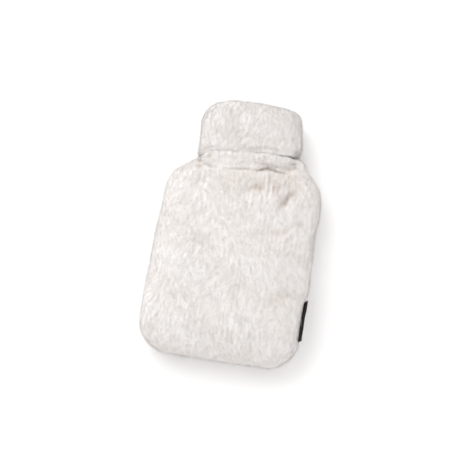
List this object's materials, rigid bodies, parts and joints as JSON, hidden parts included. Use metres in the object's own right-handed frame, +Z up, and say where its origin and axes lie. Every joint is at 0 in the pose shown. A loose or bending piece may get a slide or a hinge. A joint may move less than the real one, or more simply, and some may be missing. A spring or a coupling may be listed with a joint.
{
  "type": "hot water bottle cover",
  "caption": "Plush cover for a hot water bottle, lying on its back: a plump rounded bag with a gathered neck, a turned-down collar open at the top and a plain woven side label.",
  "frame": {"origin": "on the surface that the cover rests on, under the middle of its length and width", "axes": "+Y along the cover towards the collar, +Z up out of the front, +X to the right, the label's side"},
  "size_m": [0.2108, 0.362, 0.0668],
  "materials": {
    "plush": "deep white pile, about 12 mm long, brushed and matte",
    "woven_ribbon": "plain black taffeta weave, slight sheen"
  },
  "bodies": {
    "root": {"front_panel": "plush", "back_panel": "plush", "roll_collar": "plush", "side_label": "woven_ribbon"}
  },
  "joints": []
}
